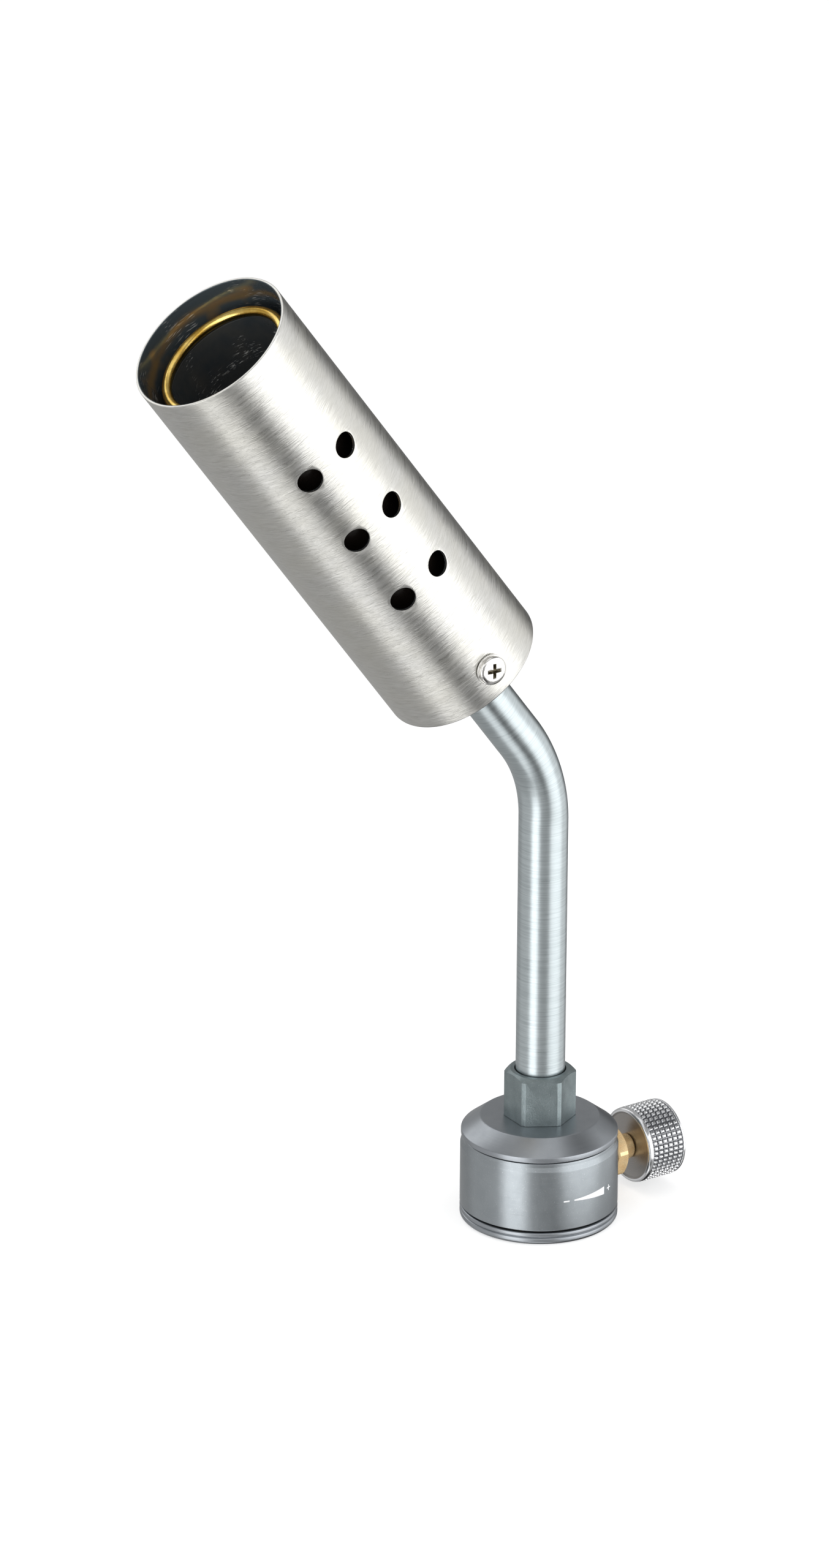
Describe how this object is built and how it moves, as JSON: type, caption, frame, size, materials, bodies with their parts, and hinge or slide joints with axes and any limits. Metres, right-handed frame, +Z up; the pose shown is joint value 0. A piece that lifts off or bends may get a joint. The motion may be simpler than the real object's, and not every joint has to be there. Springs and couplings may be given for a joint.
{
  "type": "lampwork torch",
  "caption": "Screw-on gas canister torch: perforated steel burner tube on a bent riser, hex nut, round valve body and knurled flow knob.",
  "frame": {"origin": "centre of the base ring's underside, on the valve body's axis, where the torch sits on the canister rim", "axes": "+Z up along the valve body and the lower riser; the burner leans towards -X; the flow knob points towards +X, 3 degrees towards +Y"},
  "size_m": [0.1229, 0.0372, 0.2111],
  "materials": {
    "brushed_stainless": "circumferentially brushed stainless steel",
    "anodised_grey": "fine turned, grey anodised",
    "dark_anodised": "bead blasted, dark grey anodised",
    "satin_aluminium": "satin, fine circumferential scratches",
    "bright_aluminium": "bright machined",
    "brass": "machined brass",
    "tinted_brass": "heat tinted golden wire",
    "scaled_steel": "heat darkened, glossy blue grey scale",
    "nickel_plate": "nickel plated",
    "rubber_black": "matt nitrile rubber",
    "filter_bronze": "sintered bronze",
    "fluoropolymer": "white fluoropolymer"
  },
  "bodies": {
    "torch_body": {"base_ring": "bright_aluminium", "body_sleeve": "anodised_grey", "top_cap": "anodised_grey", "valve_block": "brass", "canister_thread_insert": "brass", "inlet_pin": "brass", "inlet_seal": "rubber_black", "inlet_filter": "filter_bronze", "riser_o_ring": "rubber_black", "hex_nut": "dark_anodised", "riser_tube": "satin_aluminium", "flame_tube": "brushed_stainless", "burner_base": "brass", "inner_burner_tube": "scaled_steel", "mouth_ring": "tinted_brass", "jet_holder": "brass", "jet_filter": "filter_bronze", "jet_nozzle": "brass", "mixer_tube": "nickel_plate", "flame_holder": "scaled_steel", "flame_tube_screw_1": "nickel_plate", "flame_tube_screw_2": "nickel_plate", "screw_washer_1": "nickel_plate", "screw_washer_2": "nickel_plate", "gland_packing": "fluoropolymer", "gland_washer": "brass", "packing_nut": "brass"},
    "spindle_seal": {"spindle_o_ring": "rubber_black"},
    "flow_knob": {"needle_spindle": "brass", "knob": "bright_aluminium", "knob_grub_screw": "scaled_steel"}
  },
  "joints": [
    {"name": "spindle_travel", "type": "slide", "parent": "torch_body", "child": "spindle_seal", "axis": [0.9986, 0.0523, 0], "range_m": [0, 0.00112]},
    {"name": "knob_turn", "type": "hinge", "parent": "spindle_seal", "child": "flow_knob", "pos_m": [0, 0, 0.0093], "axis": [0.9986, 0.0523, 0], "range_deg": [0, 540]}
  ],
  "couplings": [
    {"joint": "knob_turn", "follows": "spindle_travel", "rad_per_m": 8377.6}
  ]
}
